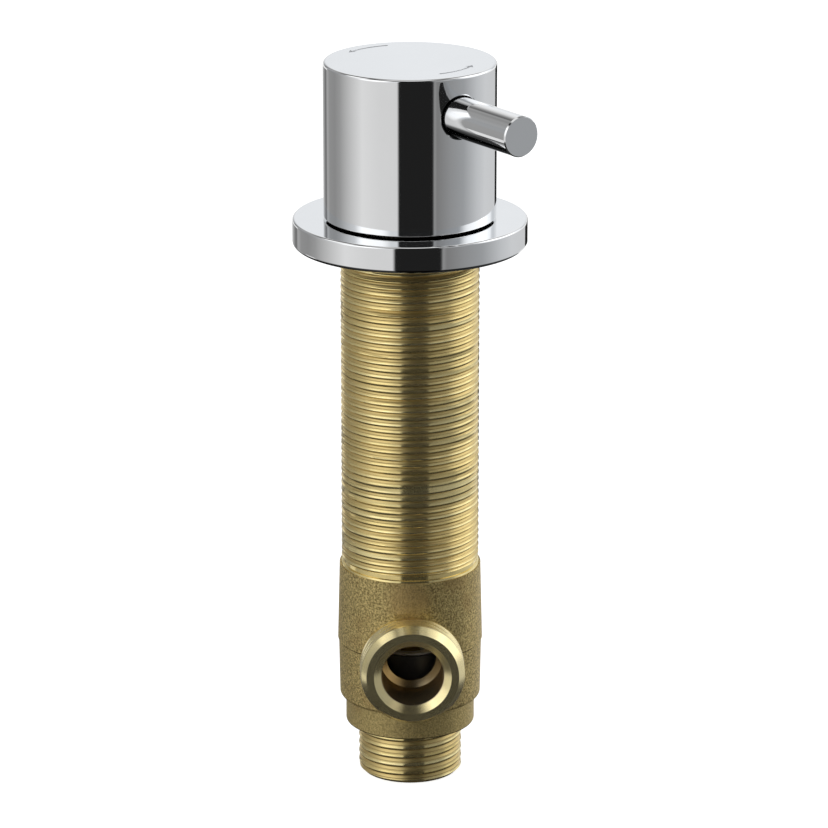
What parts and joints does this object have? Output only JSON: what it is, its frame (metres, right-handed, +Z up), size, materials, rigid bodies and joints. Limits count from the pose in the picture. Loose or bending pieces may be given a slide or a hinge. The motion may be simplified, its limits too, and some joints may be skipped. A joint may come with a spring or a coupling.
{
  "type": "quarter-turn shut-off valve",
  "caption": "Deck-mounted quarter-turn shut-off valve: chrome knob with a lever pin, round escutcheon, long threaded brass shank and a cast body with a side outlet.",
  "frame": {"origin": "on the valve's axis, in the plane of the escutcheon's underside, where it rests on the worktop", "axes": "+Z up along the valve's axis towards the knob, -Y along the side outlet, +X to the right of the outlet"},
  "size_m": [0.0468, 0.0555, 0.148],
  "materials": {
    "brass_casting": "sand-blasted brass casting with machined threads, faces and bores",
    "brass_turned": "turned brass, bright",
    "chrome": "polished chrome plate",
    "rubber": "black nitrile rubber, satin",
    "ceramic": "ground alumina ceramic, smooth",
    "black_plastic": "black moulded plastic",
    "white_plastic": "natural white acetal",
    "steel": "stainless spring steel"
  },
  "bodies": {
    "valve": {"valve_body": "brass_casting", "escutcheon": "chrome", "escutcheon_gasket": "rubber", "gland_bush": "brass_turned", "gland_o_ring": "rubber", "cartridge_housing": "brass_turned", "housing_o_ring": "rubber", "disc_cage": "black_plastic", "fixed_disc": "ceramic", "seat_seal": "rubber", "seal_support_ring": "white_plastic"},
    "handle": {"knob": "chrome", "lever_pin": "chrome", "spline_insert": "white_plastic", "extension_spindle": "brass_turned", "thrust_washer": "white_plastic", "coupling_pin": "steel", "cartridge_stem": "brass_turned", "stem_o_rings": "rubber", "friction_washer": "white_plastic", "stop_washer": "steel", "stem_circlip": "steel", "moving_disc": "ceramic"}
  },
  "joints": [
    {"name": "handle_turn", "type": "hinge", "parent": "valve", "child": "handle", "pos_m": [0, 0, 0.0216], "axis": [0, 0, 1], "range_deg": [0, 90]}
  ]
}
